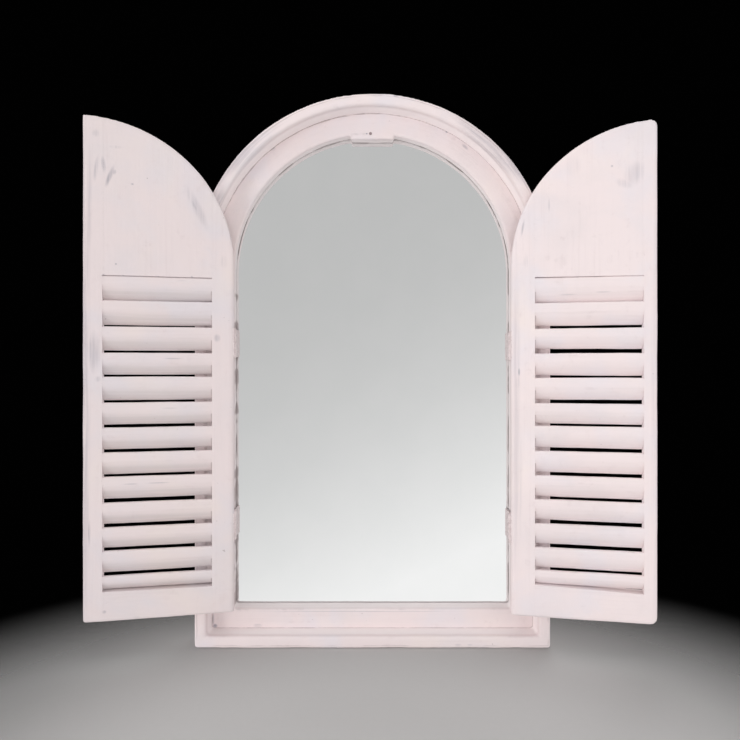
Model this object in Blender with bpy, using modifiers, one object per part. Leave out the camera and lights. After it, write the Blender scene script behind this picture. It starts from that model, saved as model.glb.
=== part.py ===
# Arched window frame mirror with two louvred shutters that fold flat against the wall.
# Metres, +Z up. The glass faces -Y and the wall lies at +Y. Heights below are taken from the
# frame's bottom edge, and the whole part hangs from the origin, which is its hanging point.

from math import acos, asin, ceil, cos, pi, radians, sin, tan

import bmesh
import bpy
from mathutils import Matrix

# Frame
frame_width = 0.385
frame_height = 0.600
frame_depth = 0.040
rim_width = 0.014
rim_edge = 0.0016

# Ledge that lies behind the rim, all round the opening
ledge_setback = 0.0195
ledge_width = 0.027
ledge_thickness = 0.0125
ledge_edge = 0.0008
sill_height = 0.021
sill_rise = 0.004
crown_joint_angle = radians(50)

# Glass and backing
glass_thickness = 0.003
glass_clearance = 0.0025
backing_thickness = 0.0025
backing_clearance = 0.001

# Block at the crown that the closed shutters rest on
stop_width = 0.047
stop_drop = 0.0062
stop_proud = 0.0012

# Sawtooth hanger, let into the back of the arch
hanger_width = 0.042
hanger_height = 0.008
hanger_thickness = 0.0009
hanger_hole_radius = 0.0011
hanger_hole_inset = 0.004
hanger_tooth_count = 9
hanger_tooth_depth = 0.0016
hanger_tooth_margin = 0.008

# Shutters
shutter_thickness = 0.015
shutter_foot_gap = 0.0063
shutter_lift = {"left": 0.0017, "right": -0.0017}
meeting_gap = 0.0016
meeting_offset = 0.002
hinge_stile_width = 0.022
meeting_stile_width = {"left": 0.021, "right": 0.017}
bottom_rail_height = 0.031
louvre_drop = {"left": 0.0122, "right": 0.0095}
board_edge = 0.0009
rest_angle = {"left": radians(11.5), "right": radians(10.4)}

# Stub tenons of the top panel and bottom rail, housed in the stiles
tenon_length = 0.007
tenon_thickness = 0.005
tenon_shoulder = 0.005
panel_tenon_height = 0.045

# Louvre slats, and the slanted slots that hold their ends
slat_count = 13
left_last_slat_share = 0.64
right_last_slat_share = 0.775
last_slat_shares = {"left": left_last_slat_share, "right": right_last_slat_share}
slat_thickness = 0.0036
slat_gap = 0.0018
slat_round = 0.0016
slat_tilt = radians(22)
slat_seat = 0.0045

# Between the stiles a slat is thicker, and planed flush with the shutter's face. Its nose is
# given from the top by shares of its height and of its depth.
slat_flush = 0.0003
slat_nose_bury = 0.0005
slat_nose_shares = ((0.03, 0), (0.40, 0), (0.60, 0.10), (0.75, 0.33), (0.86, 0.64), (0.935, 1))

# Hinges
hinge_height = 0.030
hinge_foot_inset = 0.090
hinge_head_inset = 0.082
leaf_thickness = 0.0012
leaf_play = 0.0006
leaf_margin = 0.001
knuckle_radius = 0.0022
knuckle_bore = 0.0015
knuckle_count = 3
barrel_proud = 0.0002
pin_radius = 0.0012
pin_head_radius = 0.0019
pin_head_height = 0.0008

# Fits and facets
fit_gap = 0.0003
overrun = 0.002
weld_distance = 0.000001
flat_angle = radians(0.1)
bevel_angle = radians(35)
smooth_angle = radians(40)
arch_steps = 36
round_steps = 16
round_profile_share = 0.5
edge_segments = 2

# Sizes that follow from those above
outer_radius = frame_width / 2
rim_radius = outer_radius - rim_width
opening_radius = rim_radius - ledge_width
spring_height = frame_height - outer_radius
crown_height = spring_height + opening_radius
ledge_front = -(frame_depth - ledge_setback)
ledge_back = ledge_front + ledge_thickness
glass_front = ledge_back + fit_gap
backing_front = glass_front + glass_thickness + fit_gap
hanging_height = spring_height + (rim_radius + outer_radius) / 2

shutter_back = ledge_front - stop_proud - fit_gap
hinge_x = opening_radius - fit_gap - leaf_thickness - leaf_play / 2
hinge_y = shutter_back - shutter_thickness - barrel_proud
shutter_foot = rim_width + sill_height + shutter_foot_gap
shutter_head = crown_height
shutter_edge = leaf_play / 2
louvre_foot = shutter_foot + bottom_rail_height
louvre_head = {side: spring_height - drop for side, drop in louvre_drop.items()}
shutter_face = barrel_proud
shutter_middle = shutter_face + shutter_thickness / 2

# The line where the closed shutters meet is a little right of the middle
sides = {"left": -1, "right": 1}
shutter_width = {
    side: hinge_x - shutter_edge - meeting_gap / 2 - sign * meeting_offset
    for side, sign in sides.items()
}
hinge_heights = {
    "lower": shutter_foot + hinge_foot_inset,
    "upper": shutter_head - sum(shutter_width.values()) / len(sides) - hinge_head_inset,
}

# Colour, roughness and metallic share of each finish
finishes = {
    "whitewashed_wood": ((0.80, 0.71, 0.71, 1), 0.62, 0),
    "mirror_glass": ((0.86, 0.87, 0.87, 1), 0.03, 1),
    "hardboard": ((0.30, 0.21, 0.14, 1), 0.85, 0),
    "painted_hinge": ((0.74, 0.67, 0.66, 1), 0.5, 0.3),
    "zinc_steel": ((0.55, 0.55, 0.53, 1), 0.4, 1),
}


def clear_scene():
    for item in list(bpy.data.objects):
        bpy.data.objects.remove(item)


def new_collection(name):
    collection = bpy.data.collections.new(name)
    bpy.context.scene.collection.children.link(collection)
    return collection


def new_material(name):
    colour, roughness, metallic = finishes[name]
    material = bpy.data.materials.new(name)
    material.use_nodes = True
    shader = material.node_tree.nodes["Principled BSDF"]
    shader.inputs["Base Color"].default_value = colour
    shader.inputs["Roughness"].default_value = roughness
    shader.inputs["Metallic"].default_value = metallic
    material.diffuse_color = colour
    return material


def new_empty(name, location, angle, parent):
    empty = bpy.data.objects.new(name, None)
    empty.location = location
    empty.rotation_euler = (0, 0, angle)
    empty.parent = parent
    part.objects.link(empty)
    return empty


def new_part(name, mesh, material, parent, location=(0, 0, 0), rotation=(0, 0, 0)):
    item = bpy.data.objects.new(name, mesh)
    item.location = location
    item.rotation_euler = rotation
    item.parent = parent
    part.objects.link(item)
    if not mesh.materials:
        mesh.materials.append(material)
    mesh.shade_smooth()
    mesh.set_sharp_from_angle(angle=smooth_angle)
    return item


def new_cutter(name, mesh, parent):
    item = bpy.data.objects.new(name, mesh)
    item.parent = parent
    item.hide_render = True
    item.display_type = "WIRE"
    cutters.objects.link(item)
    return item


def bevel(item, width, segments=edge_segments):
    modifier = item.modifiers.new("edges", "BEVEL")
    modifier.width = width
    modifier.segments = segments
    modifier.limit_method = "ANGLE"
    modifier.angle_limit = bevel_angle


def boolean(item, other, operation):
    modifier = item.modifiers.new(other.name, "BOOLEAN")
    modifier.operation = operation
    modifier.solver = "EXACT"
    modifier.object = other


def evaluated_mesh(item, name):
    bpy.context.view_layer.update()
    graph = bpy.context.evaluated_depsgraph_get()
    mesh = bpy.data.meshes.new_from_object(item.evaluated_get(graph))
    mesh.name = name
    return mesh


def mesh_of(solid, name):
    mesh = bpy.data.meshes.new(name)
    solid.to_mesh(mesh)
    solid.free()
    return mesh


# A block given by its lowest and highest corner
def add_block(solid, low, high):
    size = [b - a for a, b in zip(low, high)]
    middle = [(a + b) / 2 for a, b in zip(low, high)]
    place = Matrix.Translation(middle) @ Matrix.Diagonal((*size, 1))
    bmesh.ops.create_cube(solid, size=1, matrix=place)


def block_mesh(name, low, high):
    solid = bmesh.new()
    add_block(solid, low, high)
    return mesh_of(solid, name)


# Upright cylinders on one axis, one for each pair of bottom and top heights
def add_cylinders(solid, radius, spans):
    for low, high in spans:
        bmesh.ops.create_cone(
            solid, cap_ends=True, segments=round_steps, radius1=radius, radius2=radius,
            depth=high - low, matrix=Matrix.Translation((0, 0, (low + high) / 2)))


def cylinder_mesh(name, radius, spans):
    solid = bmesh.new()
    add_cylinders(solid, radius, spans)
    return mesh_of(solid, name)


# A flat outline, with any holes as further loops, made as thick as asked about its own plane
def outline_mesh(name, loops, thickness):
    curve = bpy.data.curves.new(name, "CURVE")
    curve.dimensions = "2D"
    curve.fill_mode = "BOTH"
    curve.extrude = thickness / 2
    for loop in loops:
        spline = curve.splines.new("POLY")
        spline.points.add(len(loop) - 1)
        for point, (across, along) in zip(spline.points, loop):
            point.co = (across, along, 0, 1)
        spline.use_cyclic_u = True
    drawn = bpy.data.objects.new(name, curve)
    part.objects.link(drawn)
    mesh = evaluated_mesh(drawn, name)
    bpy.data.objects.remove(drawn)
    solid = bmesh.new()
    solid.from_mesh(mesh)
    bmesh.ops.remove_doubles(solid, verts=solid.verts, dist=weld_distance)
    bmesh.ops.dissolve_limit(
        solid, angle_limit=flat_angle, verts=solid.verts, edges=solid.edges)
    bmesh.ops.recalc_face_normals(solid, faces=solid.faces)
    solid.to_mesh(mesh)
    solid.free()
    mesh.materials.clear()
    return mesh


# An upright board that is thick along Y: its outline's points are (x, height)
def new_board(name, loops, front, thickness, material, parent):
    mesh = outline_mesh(name, loops, thickness)
    middle = front + thickness / 2
    return new_part(name, mesh, material, parent, (0, middle, 0), (pi / 2, 0, 0))


def arc(radius, start, end, steps):
    turns = [start + (end - start) * i / steps for i in range(steps + 1)]
    return [(radius * cos(a), spring_height + radius * sin(a)) for a in turns]


def arc_steps(start, end):
    return max(1, ceil(arch_steps * (end - start) / pi))


# Part of a flat ring about the arch's centre
def ring_sector(inner, outer, start, end):
    steps = arc_steps(start, end)
    return arc(outer, start, end, steps) + arc(inner, end, start, steps)


def arched_panel(half_width, bottom):
    return [(-half_width, bottom), (half_width, bottom)] + arc(half_width, 0, pi, arch_steps)


def build_rim():
    bottom = [(-outer_radius, 0), (outer_radius, 0), (outer_radius, rim_width), (-outer_radius, rim_width)]
    board = new_board("outer_bottom", [bottom], -frame_depth, frame_depth, paint, root)
    bevel(board, rim_edge)
    for side, sign in sides.items():
        low, high = rim_width + fit_gap, spring_height - fit_gap
        near, far = sign * rim_radius, sign * outer_radius
        lath = [(near, low), (far, low), (far, high), (near, high)]
        board = new_board("outer_side_" + side, [lath], -frame_depth, frame_depth, paint, root)
        bevel(board, rim_edge)
    hoop = ring_sector(rim_radius, outer_radius, 0, pi)
    board = new_board("outer_arch", [hoop], -frame_depth, frame_depth, paint, root)
    bevel(board, rim_edge)
    half_width = hanger_width / 2 + fit_gap
    half_height = hanger_height / 2 + fit_gap
    depth = hanger_thickness + 2 * fit_gap
    pocket = block_mesh(
        "hanger_pocket",
        (-half_width, -depth, hanging_height - half_height),
        (half_width, overrun, hanging_height + half_height))
    boolean(board, new_cutter("hanger_pocket", pocket, root), "DIFFERENCE")


def build_ledge():
    inner = rim_radius - fit_gap
    for side, sign in sides.items():
        low, high = rim_width + fit_gap, spring_height - fit_gap
        near, far = sign * opening_radius, sign * inner
        strip = [(near, low), (far, low), (far, high), (near, high)]
        board = new_board("ledge_stile_" + side, [strip], ledge_front, ledge_thickness, paint, root)
        bevel(board, ledge_edge)
    joint = fit_gap / opening_radius / 2
    crown = pi / 2 - crown_joint_angle
    sectors = {
        "right": (0, crown_joint_angle - joint),
        "crown": (pi / 2 - crown + joint, pi / 2 + crown - joint),
        "left": (pi - crown_joint_angle + joint, pi),
    }
    for name, (start, end) in sectors.items():
        sector = ring_sector(opening_radius, inner, start, end)
        board = new_board("ledge_arch_" + name, [sector], ledge_front, ledge_thickness, paint, root)
        bevel(board, ledge_edge)
    build_sill(opening_radius - fit_gap)


# The sill's top slopes up from its front edge to the glass
def build_sill(half_width):
    foot = rim_width + fit_gap
    top = rim_width + sill_height
    section = [
        (ledge_front, foot), (ledge_back, foot),
        (ledge_back, top + sill_rise), (ledge_front, top),
    ]
    mesh = outline_mesh("ledge_sill", [section], 2 * half_width)
    sill = new_part("ledge_sill", mesh, paint, root, (0, 0, 0), (pi / 2, 0, pi / 2))
    bevel(sill, ledge_edge)


def build_glass():
    reach = rim_radius - glass_clearance
    pane = arched_panel(reach, rim_width + glass_clearance)
    new_board("mirror_glass", [pane], glass_front, glass_thickness, glass, root)
    reach = rim_radius - backing_clearance
    sheet = arched_panel(reach, rim_width + backing_clearance)
    new_board("back_board", [sheet], backing_front, backing_thickness, backing, root)


# The block fills the crown of the opening and stands a little proud of the ledge
def build_stop():
    radius = opening_radius - fit_gap
    half_turn = asin(stop_width / 2 / radius)
    top = arc(radius, pi / 2 - half_turn, pi / 2 + half_turn, arc_steps(0, 2 * half_turn))
    bottom = crown_height - stop_drop
    outline = [(-stop_width / 2, bottom), (stop_width / 2, bottom)] + top
    front = ledge_front - stop_proud
    block = new_board("crown_stop", [outline], front, ledge_back - front, paint, root)
    bevel(block, ledge_edge)


# A strip with teeth along its lower edge and a nail hole at each end
def build_hanger():
    half_width, half_height = hanger_width / 2, hanger_height / 2
    reach = half_width - hanger_tooth_margin
    step = reach / hanger_tooth_count
    low, high = hanging_height - half_height, hanging_height + half_height
    teeth = []
    for i in range(2 * hanger_tooth_count + 1):
        rise = hanger_tooth_depth * (i % 2)
        teeth.append((-reach + i * step, low + rise))
    edge = [(-half_width, low)] + teeth + [(half_width, low), (half_width, high), (-half_width, high)]
    loops = [edge]
    for sign in sides.values():
        centre = sign * (half_width - hanger_hole_inset)
        turns = [2 * pi * i / round_steps for i in range(round_steps)]
        hole = [(centre + hanger_hole_radius * cos(a), hanging_height + hanger_hole_radius * sin(a))
                for a in turns]
        loops.append(hole)
    front = -fit_gap - hanger_thickness
    new_board("sawtooth_hanger", loops, front, hanger_thickness, steel, root)


# Heights of the knuckles about the hinge's middle, counted from the bottom one
def knuckle_spans(rows):
    length = (hinge_height - (knuckle_count - 1) * fit_gap) / knuckle_count
    foots = [-hinge_height / 2 + row * (length + fit_gap) for row in rows]
    return [(foot, foot + length) for foot in foots]


# A hinge leaf on the +X side of its pin, reaching back along +Y. It keeps the knuckles in
# own_rows and is notched round those of the other leaf.
def leaf_mesh(name, reach, own_rows):
    other_rows = [row for row in range(knuckle_count) if row not in own_rows]
    near = leaf_play / 2
    plate = block_mesh(
        name, (near, 0, -hinge_height / 2), (near + leaf_thickness, reach, hinge_height / 2))
    leaf = bpy.data.objects.new(name, plate)
    part.objects.link(leaf)
    notches = bmesh.new()
    for low, high in knuckle_spans(other_rows):
        low_end = low - (overrun if low <= -hinge_height / 2 else fit_gap)
        high_end = high + (overrun if high >= hinge_height / 2 else fit_gap)
        add_block(
            notches, (-overrun, -overrun, low_end),
            (near + leaf_thickness + overrun, knuckle_radius + fit_gap, high_end))
    bore_span = (-hinge_height / 2 - overrun, hinge_height / 2 + overrun)
    tools = {
        "notches": (mesh_of(notches, "notches"), "DIFFERENCE"),
        "knuckles": (cylinder_mesh("knuckles", knuckle_radius, knuckle_spans(own_rows)), "UNION"),
        "bore": (cylinder_mesh("bore", knuckle_bore, [bore_span]), "DIFFERENCE"),
    }
    helpers = []
    for tool_name, (mesh, operation) in tools.items():
        helper = new_cutter(tool_name, mesh, None)
        boolean(leaf, helper, operation)
        helpers.append(helper)
    mesh = evaluated_mesh(leaf, name)
    for item in [leaf] + helpers:
        bpy.data.objects.remove(item)
    return mesh


# The pin is turned, with a flat head at each end that keeps it in the knuckles
def pin_mesh():
    end = hinge_height / 2 + fit_gap
    tip = end + pin_head_height
    profile = [
        (0, tip), (pin_head_radius, tip), (pin_head_radius, end), (pin_radius, end),
        (pin_radius, -end), (pin_head_radius, -end), (pin_head_radius, -tip), (0, -tip),
    ]
    line = bpy.data.meshes.new("hinge_pin")
    points = [(across, 0, up) for across, up in profile]
    line.from_pydata(points, [(i, i + 1) for i in range(len(points) - 1)], [])
    turned = bpy.data.objects.new("hinge_pin", line)
    part.objects.link(turned)
    screw = turned.modifiers.new("turn", "SCREW")
    screw.steps = round_steps
    screw.render_steps = round_steps
    screw.use_merge_vertices = True
    screw.merge_threshold = weld_distance
    mesh = evaluated_mesh(turned, "hinge_pin")
    bpy.data.objects.remove(turned)
    return mesh


# A leaf's mesh lies on the +X side, so the left one is turned half round about Y
def build_hinges(side, sign, shutter):
    flip = {1: (0, 0, 0), -1: (0, pi, 0)}
    for level, height in hinge_heights.items():
        name = side + "_" + level
        axis = (sign * hinge_x, hinge_y, height + shutter_lift[side])
        new_part("frame_leaf_" + name, frame_leaf, hinge_metal, root, axis, flip[sign])
        new_part("hinge_pin_" + name, hinge_pin, hinge_metal, root, axis)
        new_part(
            "shutter_leaf_" + name, shutter_leaf, hinge_metal, shutter, (0, 0, height), flip[-sign])


# Points of a shutter's quarter-round edge between two distances from its hinge edge, far one
# first. Its radius is the shutter's width.
def arched_edge(near, far, width):
    start = acos((width - far) / width)
    end = acos((width - near) / width)
    steps = arc_steps(0, abs(start - end))
    turns = [start + (end - start) * i / steps for i in range(steps + 1)]
    return [(width - width * cos(a), shutter_head - width + width * sin(a)) for a in turns]


# A board of the shutter, whose outline's points are (distance from the hinge edge, height)
def shutter_board(name, outline, sign, shutter):
    points = [(-sign * (shutter_edge + across), up) for across, up in outline]
    board = new_board(name, [points], shutter_face, shutter_thickness, paint, shutter)
    bevel(board, board_edge)
    return board


# Height, chord and full height of each slat, top one first. The last one is ripped to the
# room left.
def slat_layout(side):
    height = louvre_head[side] - louvre_foot
    pitch = height / (slat_count - 1 + last_slat_shares[side])
    full = pitch - slat_gap
    top = louvre_head[side] - slat_gap / 2
    layout = [(top - full / 2 - i * pitch, slat_chord(full), full) for i in range(slat_count - 1)]
    last_top = top - (slat_count - 1) * pitch
    last_foot = louvre_foot + slat_gap / 2
    last = last_top - last_foot
    layout.append(((last_top + last_foot) / 2, slat_chord(last), last))
    return layout


# Width of a tilted slat whose rounded section is as tall as given
def slat_chord(tall):
    corner = 2 * slat_round
    rise = tall - corner - (slat_thickness - corner) * sin(slat_tilt)
    return rise / cos(slat_tilt) + corner


# A slat, or the slot for one, with its long edges rounded
def add_slat(solid, length, thickness, chord, radius, place):
    scale = Matrix.Diagonal((length, thickness, chord, 1))
    made = bmesh.ops.create_cube(solid, size=1, matrix=place @ scale)
    along = place.to_3x3() @ Matrix.Identity(3).col[0]
    corners = set(made["verts"])
    edges = [
        edge for edge in solid.edges
        if edge.verts[0] in corners
        and abs((edge.verts[1].co - edge.verts[0].co).normalized().dot(along)) > cos(bevel_angle)
    ]
    bmesh.ops.bevel(
        solid, geom=edges, offset=radius, offset_type="OFFSET", segments=edge_segments,
        profile=round_profile_share, affect="EDGES")


def slots_mesh(name, side, sign, edge, toward):
    solid = bmesh.new()
    far = edge - toward * (slat_seat + fit_gap)
    near = edge + toward * overrun
    middle = -sign * (shutter_edge + (near + far) / 2)
    grow = 2 * fit_gap
    for height, chord, tall in slat_layout(side):
        place = Matrix.Translation((middle, shutter_middle, height)) @ Matrix.Rotation(-slat_tilt, 4, "X")
        add_slat(
            solid, abs(near - far), slat_thickness + grow, chord + grow, slat_round + fit_gap, place)
    return mesh_of(solid, name)


# Outline of a slat's nose about its middle, as (depth towards the face, height)
def nose_outline(tall):
    face = shutter_thickness / 2 - slat_flush
    foot = tall / 2 - tall * slat_nose_shares[-1][0]
    buried = foot * tan(slat_tilt) + slat_thickness / 2 / cos(slat_tilt) - slat_nose_bury
    outline = [
        (face + (buried - face) * depth, tall / 2 - tall * drop) for drop, depth in slat_nose_shares]
    crest = tall / 2 - slat_round
    return outline + [(crest * tan(slat_tilt), tall / 2 - slat_nose_bury)]


def build_slats(side, sign, shutter, near, far):
    meshes = {}
    for number, (height, chord, tall) in enumerate(slat_layout(side), start=1):
        if chord not in meshes:
            solid = bmesh.new()
            length = far - near + 2 * slat_seat
            add_slat(solid, length, slat_thickness, chord, slat_round, Matrix.Identity(4))
            span = far - near - 2 * fit_gap
            name = side + "_slat_nose"
            meshes[chord] = mesh_of(solid, side + "_slat"), outline_mesh(name, [nose_outline(tall)], span)
        board, nose = meshes[chord]
        name = f"{side}_slat_{number:02d}"
        place = (-sign * (shutter_edge + (near + far) / 2), shutter_middle, height)
        slat = new_part(name, board, paint, shutter, place, (-slat_tilt, 0, 0))
        added = new_cutter(name + "_nose", nose, shutter)
        added.location = place
        added.rotation_euler = (pi / 2, 0, pi / 2)
        boolean(slat, added, "UNION")


# Shallow housings in the hinge stile, for the leaves and for the barrels
def cut_hinge_housings(stile, side, sign, shutter):
    leaves = bmesh.new()
    barrels = bmesh.new()
    leaf_side = [-sign * (leaf_play / 2 + leaf_thickness + fit_gap), sign * overrun]
    half = hinge_height / 2 + fit_gap
    relief = half + pin_head_height + fit_gap
    back = shutter_face + shutter_thickness - leaf_margin + fit_gap
    for height in hinge_heights.values():
        add_block(
            leaves, (min(leaf_side), -overrun, height - half), (max(leaf_side), back, height + half))
    spans = [(height - relief, height + relief) for height in hinge_heights.values()]
    add_cylinders(barrels, knuckle_radius + fit_gap, spans)
    for kind, solid in {"leaf_housings": leaves, "barrel_housings": barrels}.items():
        name = side + "_" + kind
        boolean(stile, new_cutter(name, mesh_of(solid, name), shutter), "DIFFERENCE")


# Blocks across the joint at an edge of a stile: the tenons, or the slightly larger mortises
def tenon_mesh(name, sign, near, far, spans, grow):
    solid = bmesh.new()
    ends = sorted([-sign * (shutter_edge + near), -sign * (shutter_edge + far)])
    half = tenon_thickness / 2 + grow
    for low, high in spans:
        add_block(
            solid, (ends[0], shutter_middle - half, low - grow),
            (ends[1], shutter_middle + half, high + grow))
    return mesh_of(solid, name)


def join_boards(side, sign, shutter, stiles, boards):
    for stile, edge, toward in stiles:
        tip = edge - toward * tenon_length
        name = stile.name + "_mortises"
        spans = [span for board, span in boards]
        mesh = tenon_mesh(name, sign, tip - toward * fit_gap, edge + toward * overrun, spans, fit_gap)
        boolean(stile, new_cutter(name, mesh, shutter), "DIFFERENCE")
        for board, span in boards:
            name = board.name + "_tenon_" + ("hinge" if toward > 0 else "meeting")
            mesh = tenon_mesh(name, sign, tip, edge + toward * overrun, [span], 0)
            boolean(board, new_cutter(name, mesh, shutter), "UNION")


def build_shutter(side, sign):
    axis = (sign * hinge_x, hinge_y, shutter_lift[side])
    shutter = new_empty(side + "_shutter", axis, sign * (pi - rest_angle[side]), root)
    width = shutter_width[side]
    near = hinge_stile_width
    far = width - meeting_stile_width[side]
    foot = shutter_foot

    outline = [(0, foot), (near, foot)] + arched_edge(0, near, width)
    hinge_stile = shutter_board(side + "_hinge_stile", outline, sign, shutter)
    outline = [(far, foot), (width, foot)] + arched_edge(far, width, width)
    meeting_stile = shutter_board(side + "_meeting_stile", outline, sign, shutter)

    inner, outer = near + fit_gap, far - fit_gap
    head = louvre_head[side]
    outline = [(inner, head), (outer, head)] + arched_edge(inner, outer, width)
    panel = shutter_board(side + "_top_panel", outline, sign, shutter)
    outline = [(inner, foot), (outer, foot), (outer, louvre_foot), (inner, louvre_foot)]
    rail = shutter_board(side + "_bottom_rail", outline, sign, shutter)

    stiles = ((hinge_stile, near, 1), (meeting_stile, far, -1))
    for stile, edge, toward in stiles:
        name = stile.name + "_slots"
        slots = new_cutter(name, slots_mesh(name, side, sign, edge, toward), shutter)
        boolean(stile, slots, "DIFFERENCE")
    panel_foot = head + tenon_shoulder
    boards = (
        (panel, (panel_foot, panel_foot + panel_tenon_height)),
        (rail, (foot + tenon_shoulder, louvre_foot - tenon_shoulder)),
    )
    join_boards(side, sign, shutter, stiles, boards)
    cut_hinge_housings(hinge_stile, side, sign, shutter)
    build_slats(side, sign, shutter, near, far)
    build_hinges(side, sign, shutter)


clear_scene()
part = new_collection("window_frame_mirror")
cutters = new_collection("cutters")
paint = new_material("whitewashed_wood")
glass = new_material("mirror_glass")
backing = new_material("hardboard")
hinge_metal = new_material("painted_hinge")
steel = new_material("zinc_steel")

root = new_empty("hanging_point", (0, 0, -hanging_height), 0, None)
frame_leaf = leaf_mesh("frame_leaf", glass_front - leaf_margin - hinge_y, [0, knuckle_count - 1])
shutter_leaf = leaf_mesh("shutter_leaf", shutter_face + shutter_thickness - leaf_margin, [1])
hinge_pin = pin_mesh()

build_rim()
build_ledge()
build_glass()
build_stop()
build_hanger()
for shutter_side, shutter_sign in sides.items():
    build_shutter(shutter_side, shutter_sign)
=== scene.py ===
# Dresses the arched window mirror: worn whitewashed boards, louvre slats, painted hinges,
# mirror glass and the plain back, then the floor, lamps and camera.

import math
import random

import bmesh
import bpy
from mathutils import Matrix, Vector
from mathutils.bvhtree import BVHTree
from mathutils.kdtree import KDTree


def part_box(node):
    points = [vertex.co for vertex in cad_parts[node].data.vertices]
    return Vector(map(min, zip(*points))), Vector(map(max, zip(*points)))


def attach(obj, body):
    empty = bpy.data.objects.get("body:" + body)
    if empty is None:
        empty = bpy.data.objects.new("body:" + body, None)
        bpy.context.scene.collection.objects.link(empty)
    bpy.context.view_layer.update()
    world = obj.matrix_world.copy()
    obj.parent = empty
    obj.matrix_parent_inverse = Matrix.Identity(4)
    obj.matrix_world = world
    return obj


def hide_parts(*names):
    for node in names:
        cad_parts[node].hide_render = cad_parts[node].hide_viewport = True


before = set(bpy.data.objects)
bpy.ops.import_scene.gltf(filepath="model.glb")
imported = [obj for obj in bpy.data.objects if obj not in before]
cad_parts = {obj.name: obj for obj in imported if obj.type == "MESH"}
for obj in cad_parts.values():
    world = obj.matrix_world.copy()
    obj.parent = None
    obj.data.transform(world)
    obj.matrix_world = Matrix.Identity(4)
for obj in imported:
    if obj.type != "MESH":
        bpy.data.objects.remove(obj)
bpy.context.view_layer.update()        # the CAD pieces, in metres
millimetre = 0.001
touch = 0.2 * millimetre     # two places nearer than this are the same
cutReach = 0.02              # how far a cutting solid goes past what it cuts
random.seed(4)

# Places read from the CAD pieces
archLow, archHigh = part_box("outer_arch")
sideLow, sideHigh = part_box("outer_side_left")
bottomLow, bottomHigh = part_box("outer_bottom")
stileLow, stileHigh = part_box("ledge_stile_left")
sillLow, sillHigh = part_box("ledge_sill")
stopLow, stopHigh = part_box("crown_stop")
springHeight = archLow.z
outerRadius = archHigh.x
rimRadius = -sideHigh.x
openingRadius = -stileHigh.x
frameFoot = bottomLow.z
rimFront = archLow.y
ledgeFront = stileLow.y
ledgeBack = stileHigh.y


def deselectAll():
    bpy.ops.object.select_all(action="DESELECT")


def activate(piece):
    deselectAll()
    piece.select_set(True)
    bpy.context.view_layer.objects.active = piece


def applyPlace(piece):
    activate(piece)
    bpy.ops.object.transform_apply(location=True, rotation=True, scale=True)


def applyModifiers(piece):
    activate(piece)
    for name in [modifier.name for modifier in piece.modifiers]:
        bpy.ops.object.modifier_apply(modifier=name)


# Names the primitive that was just added and puts its place into its mesh
def settle(name):
    piece = bpy.context.object
    piece.name = name
    applyPlace(piece)
    return piece


def addBlock(name, low, high):
    deselectAll()
    middle = [(a + b) / 2 for a, b in zip(low, high)]
    size = [b - a for a, b in zip(low, high)]
    bpy.ops.mesh.primitive_cube_add(size=1, location=middle, scale=size)
    return settle(name)


# A disc whose axis lies along Y, between two depths
def addDisc(name, radius, x, z, front, back, steps):
    deselectAll()
    bpy.ops.mesh.primitive_cylinder_add(
        vertices=steps, radius=radius, depth=back - front,
        location=(x, (front + back) / 2, z), rotation=(math.pi / 2, 0, 0))
    return settle(name)


# An upright round rod between two heights
def addRod(name, radius, low, high, steps):
    deselectAll()
    bpy.ops.mesh.primitive_cylinder_add(
        vertices=steps, radius=radius, depth=high - low, location=(0, 0, (low + high) / 2))
    return settle(name)


def copyPiece(base, name):
    piece = base.copy()
    piece.data = base.data.copy()
    piece.name = name
    bpy.context.collection.objects.link(piece)
    return piece


def combine(piece, tool, operation):
    modifier = piece.modifiers.new("join", "BOOLEAN")
    modifier.operation = operation
    modifier.solver = "EXACT"
    modifier.object = tool
    applyModifiers(piece)
    bpy.data.objects.remove(tool)


# Selects the edges whose two ends pass a test, with the piece in edit mode
def pickEdges(piece, wanted):
    bpy.ops.mesh.select_all(action="DESELECT")
    bpy.ops.object.mode_set(mode="OBJECT")
    verts = piece.data.vertices
    for edge in piece.data.edges:
        a, b = (verts[index].co for index in edge.vertices)
        edge.select = wanted(a, b)
    bpy.ops.object.mode_set(mode="EDIT")


def roundEdges(piece, wanted, offset, segments):
    activate(piece)
    bpy.ops.object.mode_set(mode="EDIT")
    bpy.ops.mesh.select_mode(type="EDGE")
    pickEdges(piece, wanted)
    bpy.ops.mesh.bevel(offset=offset, segments=segments, affect="EDGES")
    bpy.ops.object.mode_set(mode="OBJECT")


# Moves the corners that pass a test up or down
def liftCorners(piece, wanted, rise):
    activate(piece)
    bpy.ops.object.mode_set(mode="EDIT")
    bpy.ops.mesh.select_all(action="DESELECT")
    bpy.ops.object.mode_set(mode="OBJECT")
    for vert in piece.data.vertices:
        vert.select = wanted(vert.co)
    bpy.ops.object.mode_set(mode="EDIT")
    bpy.ops.transform.translate(value=(0, 0, rise))
    bpy.ops.object.mode_set(mode="OBJECT")


# Points along the outward edges of a plain solid, which its paint later wears through at
def sharpPoints(piece, spacing=0.0015, bend=math.radians(25)):
    solid = bmesh.new()
    solid.from_mesh(piece.data)
    points = []
    for edge in solid.edges:
        if len(edge.link_faces) == 2 and edge.is_convex and edge.calc_face_angle() > bend:
            a, b = (vert.co for vert in edge.verts)
            count = max(1, round((b - a).length / spacing))
            points += [a.lerp(b, i / count) for i in range(count + 1)]
    solid.free()
    return points


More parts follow.
